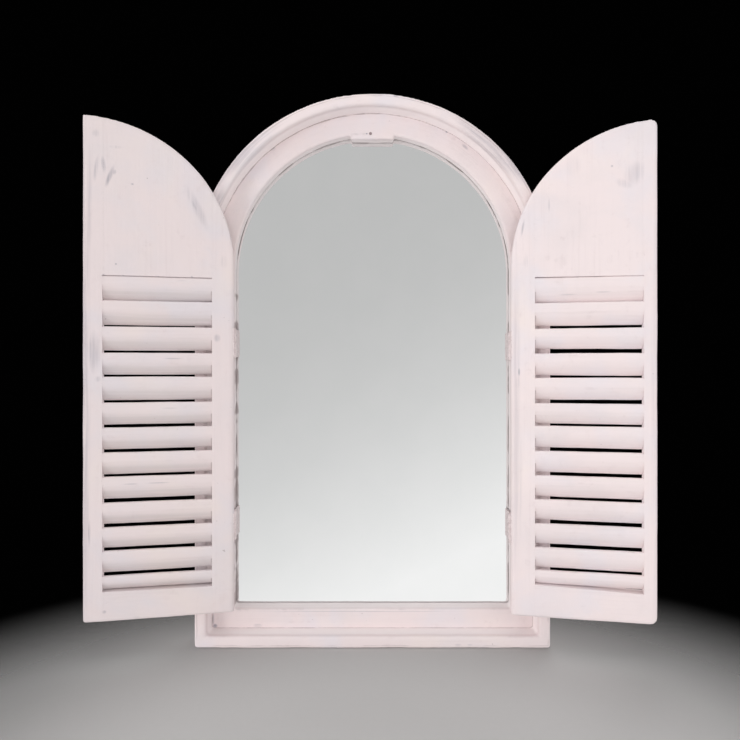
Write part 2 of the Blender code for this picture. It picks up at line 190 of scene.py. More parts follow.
# The faces of a hand-made board wander a little: each row is a noise size and how far it moves them
def addWander(piece, wander):
    for size, strength in wander:
        texture = bpy.data.textures.new(piece.name + "Wander", "CLOUDS")
        texture.noise_scale = size
        texture.noise_depth = 2
        move = piece.modifiers.new("wander", "DISPLACE")
        move.texture = texture
        move.texture_coords = "LOCAL"
        move.direction = "NORMAL"
        move.mid_level = 0.5
        move.strength = strength


# Thickly painted, worn skin: the plain solid is remeshed, its edges are rubbed round and its
# faces wander
def wornSkin(piece, look):
    skin = piece.modifiers.new("skin", "REMESH")
    skin.mode = "VOXEL"
    skin.voxel_size = look["voxel"]
    skin.use_smooth_shade = True
    rub = piece.modifiers.new("rub", "SMOOTH")
    rub.factor = 0.5
    rub.iterations = look["rounds"]
    addWander(piece, look["wander"])
    applyModifiers(piece)


def writeValues(piece, name, values):
    layer = piece.data.attributes.new(name, "FLOAT", "POINT")
    layer.data.foreach_set("value", values)


# How near each point lies to a rubbed edge, from 1 on it to 0 away from it
def markEdges(piece, points, reach):
    tree = KDTree(len(points))
    for index, point in enumerate(points):
        tree.insert(point, index)
    tree.balance()
    writeValues(piece, "arris", [math.exp(-tree.find(vert.co)[2] / reach) for vert in piece.data.vertices])


# How near each point lies to a neighbouring piece, where dirt and thick paint gather. Points
# that stand further forward than a depth are left clean.
def markNooks(piece, neighbours, reach, cleanBefore=-1):
    limit = 4 * reach
    trees = []
    for other in neighbours:
        verts = [vert.co.copy() for vert in other.data.vertices]
        faces = [list(face.vertices) for face in other.data.polygons]
        trees.append(BVHTree.FromPolygons(verts, faces))
    values = []
    for vert in piece.data.vertices:
        nearest = limit
        if vert.co.y >= cleanBefore:
            for tree in trees:
                found = tree.find_nearest(vert.co, nearest)
                if found[0] is not None:
                    nearest = min(nearest, found[3])
        values.append(math.exp(-nearest / reach) if nearest < limit else 0)
    writeValues(piece, "nook", values)


# Across, depth and along the board, for each point
def markGrain(piece, board):
    layer = piece.data.attributes.new("grain", "FLOAT_VECTOR", "POINT")
    flat = []
    for vert in piece.data.vertices:
        flat += board(vert.co)
    layer.data.foreach_set("vector", flat)


def finishPiece(piece, body, material, slotName, *replaced):
    piece.data.materials.clear()
    piece.data.materials.append(material)
    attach(piece, body)
    if replaced:
        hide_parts(*replaced)


# Materials

def isSocket(value):
    return isinstance(value, bpy.types.NodeSocket)


# Links a node's output to an input, or writes a plain value there
def setInput(socket, value):
    if isSocket(value):
        socket.id_data.links.new(value, socket)
    else:
        socket.default_value = value


def addNode(tree, kind, inputs={}, **settings):
    node = tree.nodes.new(kind)
    for name, value in settings.items():
        setattr(node, name, value)
    for name, value in inputs.items():
        setInput(node.inputs[name], value)
    return node


def newMaterial(name):
    material = bpy.data.materials.new(name)
    material.use_nodes = True
    tree = material.node_tree
    place = addNode(tree, "ShaderNodeTexCoord").outputs["Object"]
    return material, tree, tree.nodes["Principled BSDF"], place


def attribute(tree, name, output="Fac"):
    return addNode(tree, "ShaderNodeAttribute", attribute_name=name).outputs[output]


def separated(vector):
    return addNode(vector.id_data, "ShaderNodeSeparateXYZ", {0: vector}).outputs


def stretched(vector, scale=(1, 1, 1), shift=(0, 0, 0)):
    node = addNode(vector.id_data, "ShaderNodeMapping", {"Vector": vector, "Scale": scale, "Location": shift})
    return node.outputs[0]


def noise(vector, scale, detail=3, roughness=0.55, distortion=0):
    node = addNode(vector.id_data, "ShaderNodeTexNoise", {
        "Vector": vector, "Scale": scale, "Detail": detail, "Roughness": roughness,
        "Distortion": distortion})
    return node.outputs["Fac"]


def lengthOf(vector):
    return addNode(vector.id_data, "ShaderNodeVectorMath", {0: vector}, operation="LENGTH").outputs["Value"]


# A value's share of the way between two others, taken to a range of its own
def shareOf(value, low, high, start=0, end=1, **settings):
    node = addNode(value.id_data, "ShaderNodeMapRange", {
        "Value": value, "From Min": low, "From Max": high, "To Min": start, "To Max": end}, **settings)
    return node.outputs[0]


def band(value, low, high, out=1):
    return shareOf(value, low, high, 0, out, interpolation_type="SMOOTHSTEP")


# Works one operation through its values in turn
def sums(operation, *values):
    tree = next(value.id_data for value in values if isSocket(value))
    total = values[0]
    for value in values[1:]:
        total = addNode(tree, "ShaderNodeMath", {0: total, 1: value}, operation=operation).outputs[0]
    return total


def times(*values):
    return sums("MULTIPLY", *values)


def blendColours(share, under, over):
    node = addNode(share.id_data, "ShaderNodeMix", {0: share}, data_type="RGBA")
    for index, colour in ((6, under), (7, over)):
        setInput(node.inputs[index], colour if isSocket(colour) else (*colour, 1))
    return node.outputs[2]


# Bump nodes in a chain that ends in the shader, the last layer nearest to it
def addBump(shader, layers):
    target = shader.inputs["Normal"]
    for height, distance in reversed(layers):
        node = addNode(shader.id_data, "ShaderNodeBump", {
            "Height": height, "Distance": distance, "Strength": 1})
        setInput(target, node.outputs[0])
        target = node.inputs["Normal"]


# Soft spots, each at x, z with a half width and half height in millimetres, a lean in degrees and
# a strength. Those of full strength are solid and the others are broken up.
def spots(place, breakUp, marks):
    tree = place.id_data
    broken, solid = [], []
    for x, z, wide, tall, lean, strength in marks:
        local = addNode(tree, "ShaderNodeMapping", {
            "Vector": place, "Location": (x * millimetre, 0, z * millimetre),
            "Rotation": (0, math.radians(lean), 0),
            "Scale": (wide * millimetre, 1, tall * millimetre)}, vector_type="TEXTURE")
        ball = addNode(tree, "ShaderNodeTexGradient", {"Vector": local.outputs[0]}, gradient_type="SPHERICAL")
        soft = band(ball.outputs["Fac"], 0, 0.75, strength)
        (broken if strength < 1 else solid).append(soft)
    return sums("MAXIMUM", times(sums("MAXIMUM", *broken), breakUp), *solid)


paintLook = {
    "pale": (0.850, 0.742, 0.742),
    "cool": (0.800, 0.735, 0.765),
    "warm": (0.870, 0.765, 0.735),
    # a level that scales the whole paint; on the shutters it is painted shade and painted light
    "tone": 1.0,
    "grey": (0.690, 0.640, 0.655),
    "greyShare": 0.30,
    "mauve": (0.640, 0.535, 0.540),
    "streak": 0.22,
    "thin": 0.28,
    "wood": (0.330, 0.300, 0.310),
    "lightWood": (0.560, 0.520, 0.520),
    "wear": 0.72,
    # dirt, also the colour of the painted shade beside the glass
    "dirt": (0.300, 0.225, 0.225),
    "dirtShare": 0.70,
    # painted shade in the slats' hollows: its colour, and its share (none by default)
    "dust": (0.600, 0.545, 0.535),
    "dustShare": 0.0,
    # stains, also the colour of a few painted shade marks on the right shutter
    "stain": (0.400, 0.370, 0.410),
    "marks": [],
    "markDepth": None,       # the depths between which the marks fade out
    "wall": None,            # the depths and the share of the painted light inside an opening: its walls painted paler
    "wallPale": (0.960, 0.880, 0.880),
    "lip": None,             # the depths of the painted shade along the rim's inner front edge, near the crown
    "lipShare": 0.70,
    "lipReach": (0.0020, 0.0003),
    "lipHeights": (-0.050, -0.015),
    "cracks": [],
    "patchBump": 0.00035,
    "brushBump": 0.00018,
    "fibreBump": 0.00006,
    "crackBump": 0.0006,
}
# where the crack lines and the painted shade beside the glass wander and fade
crackLook = {
    "driftNoise": (45, 3),
    "widthNoise": (38, 2),
    "widthLimits": (0.38, 0.60),
    "edge": (-0.25, 0.45),       # in half widths
    "footFade": (bottomHigh.z + 0.001, bottomHigh.z + 0.012),
    "filledX": (0.018, 0.034),
    "filledHeights": (springHeight, springHeight + 0.075),
    "sillFade": (sillHigh.z - 0.001, sillHigh.z + 0.002),
    "crownFade": (-0.10, -0.04, 0.5),
    "springFade": (springHeight + 0.012, springHeight - 0.012),
    "leftFade": (0.05, -0.05),
}


# How far a place lies outside the rim's inner edge, round the arch, down the sides and at the foot
def outOfWindow(tree, parts):
    above = sums("MAXIMUM", sums("SUBTRACT", parts[2], springHeight), 0)
    hoop = addNode(tree, "ShaderNodeCombineXYZ", {0: parts[0], 2: above})
    outside = sums("SUBTRACT", lengthOf(hoop.outputs[0]), rimRadius)
    return sums("MAXIMUM", outside, sums("SUBTRACT", bottomHigh.z, parts[2]))


# A thin wandering line where a distance is near zero, which fades out in places
def hairline(away, place, wander, half, strength):
    look = crackLook
    drift = times(sums("SUBTRACT", noise(place, *look["driftNoise"]), 0.5), wander)
    reach = times(band(noise(place, *look["widthNoise"]), *look["widthLimits"]), half)
    near = sums("SUBTRACT", reach, sums("ABSOLUTE", sums("ADD", away, drift), 0))
    outer, inner = look["edge"]
    return band(near, outer * half, inner * half, strength)


# Each crack or painted shade is a kind, its level, how far it wanders, its half width and its strength.
# A rim crack and a joint follow the rim's edge. A gap and a shade lie at a depth beside the glass: the gap
# is a dark joint widened with painted shade, and the shade is a broad painted shadow.
def crackLines(place, parts, around, cracks):
    look = crackLook
    lines = []
    for kind, level, wander, half, strength in cracks:
        away = sums("SUBTRACT", around if kind in ("rim", "joint") else parts[1], level)
        line = hairline(away, place, wander, half, strength)
        if kind == "joint":          # filled with paint at the right of the arch
            filled = times(band(parts[0], *look["filledX"]), band(parts[2], *look["filledHeights"]))
            line = times(line, band(parts[2], *look["footFade"]), sums("SUBTRACT", 1, filled))
        if kind in ("gap", "shade"):     # the gap's painted shade and the painted shadow are fainter at the crown
            crown = sums("SUBTRACT", 1, band(parts[2], *look["crownFade"]))
            line = times(line, band(parts[2], *look["sillFade"]), crown)
        if kind == "shade":          # painted shadow, on the left, below the arch
            line = times(line, band(parts[2], *look["springFade"]), band(parts[0], *look["leftFade"]))
        lines.append(line)
    return sums("MAXIMUM", *lines)


# Worn whitewash, from the brushed coats down to bare wood, dirt and stains, with painted light and shade in
# places
def makePaint(name, **changes):
    look = dict(paintLook, **changes)
    material, tree, shader, place = newMaterial(name)
    grain = attribute(tree, "grain", "Vector")
    cloud = noise(place, 16, 3, 0.5, 0.4)
    warmth = noise(stretched(place, shift=(3, 0, 7)), 11, 3, 0.5, 0.5)
    faded = noise(stretched(place, shift=(5, 2, 1)), 13, 4, 0.55, 0.6)
    specks = noise(stretched(place, shift=(9, 4, 6)), 210, 2)
    patch = noise(place, 70, 5, 0.62, 0.6)
    fibre = noise(stretched(grain, (1100, 1100, 30)), 1, 3, 0.6)
    brush = noise(stretched(grain, (330, 330, 9)), 1, 4, 0.6, 0.3)
    broad = noise(stretched(grain, (70, 70, 7)), 1, 3, 0.6, 0.4)

    # Each coat is where it shows and its colour, from the bottom up
    # the level scales the pale, cool and warm paint: painted shade below 1, painted light above 1
    pale, cool, warm = ([part * look["tone"] for part in look[coat]] for coat in ("pale", "cool", "warm"))
    coats = [(band(cloud, 0.42, 0.72, 0.95), cool), (band(warmth, 0.50, 0.78, 0.75), warm),
             (band(faded, 0.42, 0.78, look["greyShare"]), look["grey"])]
    # painted shade where a slat curves back
    if look["dustShare"]:
        dusty = times(attribute(tree, "hollow"), band(brush, 0.10, 0.55, look["dustShare"]))
        coats.append((dusty, look["dust"]))
    streaks = times(band(brush, 0.45, 0.80), band(broad, 0.42, 0.68), look["streak"])
    thin = times(band(patch, 0.54, 0.74), band(brush, 0.35, 0.65), look["thin"])
    rubbed = times(band(attribute(tree, "arris"), 0.35, 0.95), band(patch, 0.52, 0.62),
                   band(fibre, 0.25, 0.6), look["wear"])
    bare = blendColours(band(fibre, 0.3, 0.7), look["wood"], look["lightWood"])
    grime = times(band(attribute(tree, "nook"), 0.30, 0.95), band(patch, 0.22, 0.55), look["dirtShare"])
    speckled = times(band(specks, 0.74, 0.79), band(cloud, 0.40, 0.60, 0.55))
    coats += [(streaks, look["mauve"]), (thin, look["mauve"]), (rubbed, bare), (grime, look["dirt"]),
              (speckled, look["dirt"])]
    # marks are stains, with a few painted shade marks on the right shutter
    if look["marks"]:
        shown = spots(place, band(brush, 0.30, 0.62), look["marks"])
        if look["markDepth"]:
            shown = times(shown, band(separated(grain)[1], *look["markDepth"]))
        coats.append((shown, look["stain"]))

    layers = [(patch, look["patchBump"]), (brush, look["brushBump"]), (fibre, look["fibreBump"])]
    if look["wall"] or look["lip"] or look["cracks"]:
        parts = separated(place)
        around = outOfWindow(tree, parts)
    # painted light: the walls inside an opening are painted paler
    if look["wall"]:
        coats.append((band(parts[1], *look["wall"]), look["wallPale"]))
    # painted shade along the rim's inner front edge, near the crown
    if look["lip"]:
        start, end = look["lip"]
        lip = times(band(around, *look["lipReach"]), band(parts[1], end, start),
                    band(patch, 0.30, 0.62, look["lipShare"]), band(parts[2], *look["lipHeights"]))
        coats.append((lip, look["mauve"]))
    # crack lines and dark joints, with painted shade beside the glass
    if look["cracks"]:
        lines = crackLines(place, parts, around, look["cracks"])
        coats.append((lines, look["dirt"]))
        layers.append((sums("SUBTRACT", 1, lines), look["crackBump"]))
    colour = pale
    for share, coat in coats:
        colour = blendColours(share, colour, coat)
    setInput(shader.inputs["Base Color"], colour)
    setInput(shader.inputs["Roughness"], shareOf(patch, 0.3, 0.7, 0.50, 0.72))
    shader.inputs["Specular IOR Level"].default_value = 0.35
    addBump(shader, layers)
    return material


# Frame: rim and ledge

rimLook = {
    "steps": 288,
    "flare": 0.0018,         # how much wider the rim's hollow is at its front
    "round": 0.0024,
    "corner": 0.0028,
    "voxel": 0.0014,
    "rounds": 1,
    "wander": [(0.035, 0.0008), (0.011, 0.0003)],
    "rubReach": 0.0018,
    "nookReach": 0.0011,
    "hangerFit": 0.0004,
}
ledgeLook = {
    "steps": 288,
    "tuck": 0.0020,          # how far the ledge goes in behind the rim
    "ease": 0.0020,          # how much wider than the solids the opening is
    "raise": 0.0020,         # how much higher its arch stands
    "round": 0.0018,
    "sillDrop": 0.0040,      # how far the sill slopes down from the glass to its front
    "stopRise": 0.0042,      # how much shorter than its solid the crown block is
    "stopRoot": 0.0040,
    "stopProud": 0.0002,
    "voxel": 0.0013,
    "rounds": 1,
    "wander": [(0.03, 0.0005), (0.008, 0.0003)],
    "rubReach": 0.0014,
    "nookReach": 0.0011,
}


def archedSolid(name, radius, foot, front, back, steps):
    piece = addBlock(name, (-radius, front, foot), (radius, back, springHeight))
    disc = addDisc(name + "Top", radius, 0, springHeight, front, back, steps)
    combine(piece, disc, "UNION")
    return piece


# Runs up the left side, round the arch and down the right side, and straight along the foot
def hoopGrain(footTop, footHalf):
    turnLength = math.pi * rimRadius

    def board(point):
        if point.z < footTop and abs(point.x) < footHalf:
            return (point.z + 3, point.y, point.x)
        if point.z > springHeight:
            high = point.z - springHeight
            angle = math.pi - math.atan2(high, point.x)
            return (math.hypot(point.x, high), point.y, angle * rimRadius)
        if point.x < 0:
            return (-point.x, point.y, point.z - springHeight)
        return (point.x, point.y, turnLength + springHeight - point.z)

    return board


# The front edge of the opening, round the arch and down its sides
def onOpening(point):
    radius = math.hypot(point.x, max(point.z - springHeight - ledgeLook["raise"], 0))
    return abs(radius - openingRadius - ledgeLook["ease"]) < touch and abs(point.y - ledgeFront) < touch


# The front inner edge of the rim
def onRimLip(point):
    loose = 1.5 * touch
    lip = rimRadius + rimLook["flare"]
    radius = math.hypot(point.x, max(point.z - springHeight, 0))
    near = abs(radius - lip) < loose
    if point.z < springHeight and abs(point.x) < lip + loose:
        near = near or abs(point.z - bottomHigh.z + rimLook["flare"]) < loose
    return near and abs(point.y - rimFront) < touch


def onFootCorner(point):
    return abs(abs(point.x) - outerRadius) < touch and abs(point.z - frameFoot) < touch


# Edges worth rubbing, without the seam where an arch was joined to its straight sides
def rubbedEdges(piece, seam):
    return [point for point in sharpPoints(piece) if abs(point.z - seam) > millimetre]


rim = archedSolid("paintedRim", outerRadius, frameFoot, rimFront, 0, rimLook["steps"])
hollow = archedSolid("rimHollow", rimRadius, bottomHigh.z, rimFront - cutReach, cutReach, rimLook["steps"])
combine(rim, hollow, "DIFFERENCE")
flared = archedSolid("rimFlare", rimRadius, bottomHigh.z, rimFront - cutReach, ledgeFront, rimLook["steps"])
widening = rimLook["flare"] * (1 + cutReach / (ledgeFront - rimFront))
stretch = 1 + widening / rimRadius
for vert in flared.data.vertices:
    if vert.co.y < rimFront:
        high = max(vert.co.z - springHeight, 0)
        vert.co.x *= stretch
        if high > 0:
            vert.co.z = springHeight + high * stretch
        elif vert.co.z < bottomHigh.z + millimetre:
            vert.co.z -= widening
combine(rim, flared, "DIFFERENCE")
roundEdges(rim, lambda a, b: onRimLip(a) and onRimLip(b), rimLook["round"], 4)
roundEdges(rim, lambda a, b: onFootCorner(a) and onFootCorner(b) and abs(a.y - b.y) > millimetre,
           rimLook["corner"], 5)
rimEdges = rubbedEdges(rim, springHeight)
wornSkin(rim, rimLook)

ledge = archedSolid("paintedLedge", rimRadius + ledgeLook["tuck"], sillLow.z - ledgeLook["tuck"], ledgeFront,
                    ledgeBack, ledgeLook["steps"])
easedRadius = openingRadius + ledgeLook["ease"]
opening = archedSolid("ledgeOpening", easedRadius, sillHigh.z, ledgeFront - cutReach, ledgeBack + cutReach,
                      ledgeLook["steps"])
for vert in opening.data.vertices:
    if vert.co.z > springHeight - 0.1 * millimetre:
        vert.co.z += ledgeLook["raise"]
combine(ledge, opening, "DIFFERENCE")
roundEdges(ledge, lambda a, b: onOpening(a) and onOpening(b), ledgeLook["round"], 5)

slope = addBlock("sillSlope", (-easedRadius, ledgeFront - cutReach, sillHigh.z - cutReach),
                 (easedRadius, ledgeBack, sillHigh.z + cutReach))
sillDrop = ledgeLook["sillDrop"]
liftCorners(slope, lambda co: co.z < sillHigh.z, cutReach - sillDrop)
liftCorners(slope, lambda co: co.z < sillHigh.z and co.y > ledgeBack - millimetre, sillDrop)
liftCorners(slope, lambda co: co.z < sillHigh.z and co.y < ledgeFront - millimetre,
            -sillDrop * cutReach / (ledgeBack - ledgeFront))
combine(ledge, slope, "DIFFERENCE")
stop = addBlock(
    "crownBlock", (stopLow.x, ledgeFront - ledgeLook["stopProud"], stopLow.z + ledgeLook["stopRise"]),
    (stopHigh.x, stopHigh.y, springHeight + openingRadius + ledgeLook["stopRoot"]))
combine(ledge, stop, "UNION")
ledgeEdges = rubbedEdges(ledge, springHeight)
wornSkin(ledge, ledgeLook)

pocketLow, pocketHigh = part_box("sawtooth_hanger")
fit = rimLook["hangerFit"]
pocket = addBlock("hangerPocket", (pocketLow.x - fit, pocketLow.y - 2 * fit, pocketLow.z - fit),
                  (pocketHigh.x + fit, cutReach, pocketHigh.z + fit))
combine(rim, pocket, "DIFFERENCE")
print("rim and ledge", len(rim.data.vertices), len(ledge.data.vertices))

markEdges(rim, rimEdges, rimLook["rubReach"])
markEdges(ledge, ledgeEdges, ledgeLook["rubReach"])
markNooks(rim, [ledge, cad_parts["back_board"]], rimLook["nookReach"])
markNooks(ledge, [rim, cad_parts["mirror_glass"]], ledgeLook["nookReach"])
markGrain(rim, hoopGrain(bottomHigh.z, outerRadius))
markGrain(ledge, hoopGrain(sillHigh.z, openingRadius))

rimMarks = [
    (25.5, 4, 4, 2, 0, 0.7), (92.5, -589.6, 5, 1.8, 0, 0.6), (105.5, -589.6, 4, 1.5, 0, 0.5),
    (-167, -108.5, 11, 15, 40, 0.45), (133, -56, 12, 80, -48, 0.62), (-136, -58, 10, 70, 48, 0.42),
]
ledgeMarks = [
    (-175, -576.5, 3.6, 3, 0, 1), (-176.8, -570, 1.4, 10, 0, 0.8), (-127.2, -576.8, 7, 4, 0, 0.35),
    (-110, -46.7, 2.5, 4, 45, 0.8), (102.9, -44.5, 2.5, 6, -45, 0.5), (-6.4, -29.7, 1.6, 1.1, 0, 1),
    (82.4, -27.7, 1.7, 1.5, 0, 1), (5, -35.6, 21, 0.8, 0, 0.5), (-10, -560.6, 150, 0.9, 0, 0.38),
]
# painted light on the walls of the rim's hollow
rimPaint = makePaint("rimPaint", wall=(rimFront + 0.003, rimFront + 0.008, 0.95),
                     # painted shade along the rim's inner front edge
                     lip=(rimFront + 0.001, rimFront + 0.0075), marks=rimMarks,
                     cracks=[("rim", 0.0114, 0.0016, 0.00045, 0.30)])
# painted light on the walls of the opening
ledgePaint = makePaint("ledgePaint", wall=(ledgeFront + 0.0015, ledgeFront + 0.0045, 0.85), marks=ledgeMarks,
                       cracks=[("joint", -0.0008, 0.0018, 0.00050, 0.45),
                               # a dark joint at the glass, widened with painted shade on the opening's wall
                               ("gap", ledgeBack - 0.0002, 0.0006, 0.00210, 0.85),
                               # a broad painted shadow beside the glass, on the left below the arch
                               ("shade", ledgeBack, 0.0010, 0.01200, 0.72)])
finishPiece(rim, "frame", rimPaint, "whitewashed_wood",
            "outer_bottom", "outer_side_left", "outer_side_right", "outer_arch")
finishPiece(ledge, "frame", ledgePaint, "whitewashed_wood",
            "ledge_sill", "ledge_stile_left", "ledge_stile_right", "ledge_arch_left",
            "ledge_arch_crown", "ledge_arch_right", "crown_stop")


# Shutters, built folded flat against the wall and then turned about their hinges

hangHeight = 0.593           # of the hanging point above the frame's foot
shutterSizes = {
    "axisX": 0.1497,
    "axisY": -0.0372,
    "edge": 0.0003,          # from the hinge axis to the shutter's edge
    "face": 0.0002,          # and to its back face
    "thickness": 0.0150,
    "width": {"left": 0.1506, "right": 0.1466},
    "lift": {"left": 0.0017, "right": -0.0017},
    "restAngle": {"left": math.radians(11.5), "right": math.radians(10.4)},
    "foot": 0.0413 - hangHeight,
    "head": 0.559 - hangHeight,
    "windowFoot": 0.0723 - hangHeight,
    "hingeStile": {"left": 0.0229, "right": 0.0247},
    "meetingStile": {"left": 0.0201, "right": 0.0146},
    "undercut": 0.0040,
    "hingeRound": 0.0026,
    "outerRounds": {"left": [("foot", 0.003)], "right": [("head", 0.007), ("foot", 0.007)]},
    "steps": 360,
    "voxel": 0.0015,
    "rounds": 1,
    "wander": [(0.04, 0.0006), (0.012, 0.0002)],
    "rubReach": 0.0016,
    "nookReach": 0.0010,
    "nookDepth": 0.0012,
    # the left shutter's paint is darkened as painted shade and the right one's is lightened as painted light
    "tone": {"left": 0.935, "right": 1.025},
    "markDepth": (-0.043, -0.047),
}
boardsBack = shutterSizes["axisY"] - shutterSizes["face"]
boardsFront = boardsBack - shutterSizes["thickness"]
# The slats are planed flush with the boards above and curve back below. Each row of the profile
# is (share of the height from the top, depth under the boards' face).
slatSizes = {
    "count": 13,
    "seat": 0.0045,          # how far the ends go into the stiles
    "lengthCuts": 52,
    "columns": 6,
    "flush": 0.00012,
    "headGap": 0.0004,
    "rubReach": 0.0010,
    "nookReach": 0.0014,
    "streak": 0.25,
    "wear": 0.50,
    # painted shade where the slats curve back, much stronger on the left shutter
    "dust": {"left": 0.46, "right": 0.05},
    "dustFrom": 0.48,        # shares of the height, where the painted shade begins and how soon it is full
    "dustOver": 0.22,
    "marks": {
        "left": [
            (-208, -280.3, 12, 1.1, 0, 0.45), (-211.6, -332.1, 10, 1.1, 0, 0.45),
            (-249.1, -409.8, 10, 1.2, 0, 0.5), (-223.1, -409.5, 15, 1.2, 0, 0.45),
            (-200, -199, 8, 1.2, 0, 0.35),
        ],
        "right": [
            (240, -211, 10, 1.1, 0, 0.4), (205, -213, 12, 1.1, 0, 0.3),
        ],
    },
    "front": [(0.0, 0.0017), (0.010, 0.0010), (0.028, 0.00045), (0.055, 0.00015), (0.10, 0.0), (0.24, 0.0),
              (0.37, 0.0001), (0.44, 0.0004), (0.51, 0.0009), (0.58, 0.0015), (0.65, 0.0022), (0.72, 0.0031),
              (0.79, 0.0041), (0.85, 0.0052), (0.90, 0.0063), (0.94, 0.0074), (0.97, 0.0085), (0.99, 0.0096),
              (1.0, 0.0107)],
    "back": [(1.0, 0.0122), (0.99, 0.0131), (0.965, 0.0135), (0.92, 0.0133), (0.70, 0.0112), (0.48, 0.0091),
             (0.26, 0.0070), (0.06, 0.0051), (0.02, 0.0047), (0.0, 0.0037)],
}
# Heights in millimetres above the frame's foot, near the hinge, in the middle and near the
# outer edge: the foot of each slat but the last, and the head of the slat under it
slatEdges = {
    "left": {
        "across": (50, 89, 128),
        "foot": [(371.0, 371.2, 371.0), (346.0, 345.9, 345.7), (319.8, 319.4, 319.1), (294.0, 294.2, 294.5),
                 (267.7, 267.7, 267.8), (242.8, 242.3, 241.7), (217.0, 216.5, 216.1), (191.2, 190.7, 190.2),
                 (165.4, 165.3, 165.2), (139.7, 139.3, 139.0), (114.6, 114.7, 114.8), (88.9, 89.2, 89.6)],
        "head": [(371.0, 370.4, 368.5), (344.0, 343.7, 343.3), (316.9, 316.7, 316.5), (292.0, 292.2, 292.4),
                 (265.9, 265.4, 264.9), (239.9, 239.7, 239.5), (214.4, 214.2, 214.0), (189.4, 189.1, 188.8),
                 (162.5, 162.7, 163.0), (137.5, 137.2, 136.9), (112.4, 113.4, 114.1), (87.7, 87.7, 87.8)],
        "windowHead": (396.3, 396.3),
        "windowFoot": (70.9, 71.8),
    },
    "right": {
        "across": (49, 91, 127),
        "foot": [(373.4, 373.6, 373.8), (349.4, 349.6, 349.9), (326.5, 324.2, 323.5), (296.7, 296.6, 297.1),
                 (270.2, 271.2, 270.1), (245.7, 245.2, 244.6), (220.6, 219.7, 218.8), (194.1, 193.4, 192.6),
                 (168.2, 167.2, 167.5), (143.5, 142.2, 140.9), (117.8, 116.8, 115.8), (92.8, 91.5, 90.4)],
        "head": [(373.2, 373.4, 373.6), (345.9, 346.2, 346.5), (319.8, 320.1, 320.2), (294.2, 294.3, 294.4),
                 (267.6, 267.3, 267.4), (244.1, 243.3, 242.5), (217.1, 216.8, 216.5), (191.3, 190.9, 190.6),
                 (166.9, 165.3, 164.8), (141.0, 140.0, 139.0), (115.9, 114.7, 113.5), (91.9, 90.6, 89.2)],
        "windowHead": (400.5, 399.6),
        "windowFoot": (75.8, 72.1),
    },
}
shutterMarks = {
    "left": [
        (-281.5, -86, 3.4, 17, 8, 0.75), (-275, -82, 2.6, 11, -6, 0.7), (-269, -93.5, 3, 15, 20, 0.85),
        (-266, -89, 4, 4, 0, 0.7), (-282, -50.6, 4.5, 5, 0, 0.35), (-263.1, -63.5, 9, 2.2, 0, 0.22),
        (-184.3, -122.1, 6, 30, -26, 0.36), (-188, -118, 2.4, 13, -28, 0.6), (-293.5, -320, 8, 360, 0, 0.46),
        (-291.5, -120, 7, 90, 0, 0.4), (-247.8, -100.6, 2.2, 1.3, 0, 0.9),
        (-263.1, -183.5, 1.4, 1.4, 0, 0.8), (-285.7, -274, 11, 26, 0, 0.46), (-280.1, -301.5, 4, 4, 0, 0.4),
        (-288.2, -458.2, 1.8, 18, 0, 0.75), (-274.5, -539.7, 3, 2.4, 0, 0.6),
        (-243, -547.3, 5, 2.2, 0, 0.35), (-164.3, -258.5, 4.5, 5.5, 0, 0.5), (-157.3, -177.9, 5, 9, 0, 0.2),
        (-275.2, -195.5, 2.2, 1.6, 0, 0.9), (-256.4, -195.5, 2.2, 1.2, 0, 0.7),
        (-223.6, -195, 2.2, 1.4, 0, 0.8), (-189.4, -194.5, 1.6, 1.4, 0, 0.8),
    ],
    "right": [
        (162.3, -177, 2.8, 10, 0, 0.35), (155.4, -294.4, 1.6, 6, 0, 0.85), (153.3, -306.1, 4.5, 14, 0, 0.32),
        # the long marks at 154.3, -398.3 and 152.5, -340 are painted shade along the hinge edge
        (154.3, -398.3, 6, 100, 0, 0.22), (152.5, -340, 5.5, 230, 0, 0.26), (247.7, -81.4, 1.6, 1.6, 0, 0.7),
        (185.7, -118.8, 1.2, 9, 0, 0.3), (270, -90, 12, 17, 30, 0.34), (260, -100, 12, 6, 20, 0.24),
        # the mark at 158.5, -144 is a painted shadow line along the arched edge, beside the rim
        (158.5, -144, 1.8, 14, 12, 0.55), (210, -80, 10, 14, 0, 0.14), (289, -340, 5, 240, 0, 0.16),
    ],
}
sides = {"left": -1, "right": 1}


def boardGrain(side, sign):
    sizes = shutterSizes
    near = sizes["hingeStile"][side]
    far = sizes["width"][side] - sizes["meetingStile"][side]

    def board(point):
        across = sign * point.x - sizes["axisX"] - sizes["edge"]
        if across < near:
            return (across + 2, point.y, point.z)
        if across > far:
            return (across + 4, point.y, point.z)
        if point.z < sizes["windowFoot"]:
            return (point.z, point.y, across)
        return (across + 6, point.y, point.z)

    return board


# Rounds an outer corner of the boards off, seen from the front
def roundCorner(piece, x, z, inX, inZ, radius):
    lowX, highX = sorted((x, x + inX * radius))
    lowZ, highZ = sorted((z, z + inZ * radius))
    low = (lowX - (inX > 0) * millimetre, boardsFront - millimetre, lowZ - (inZ > 0) * millimetre)
    high = (highX + (inX < 0) * millimetre, boardsBack + millimetre, highZ + (inZ < 0) * millimetre)
    tool = addBlock("corner", low, high)
    disc = addDisc("cornerDisc", radius, x + inX * radius, z + inZ * radius, boardsFront - cutReach,
                   boardsBack + cutReach, 48)
    combine(tool, disc, "DIFFERENCE")
    combine(piece, tool, "DIFFERENCE")


# Height of a measured edge at a place across the shutter, carried on a little beyond its ends
def levelAt(places, values, across):
    index = 0
    while index < len(places) - 2 and across > places[index + 1]:
        index += 1
    share = (across - places[index]) / (places[index + 1] - places[index])
    share = min(max(share, -0.6), 1.4)
    return values[index] + share * (values[index + 1] - values[index])


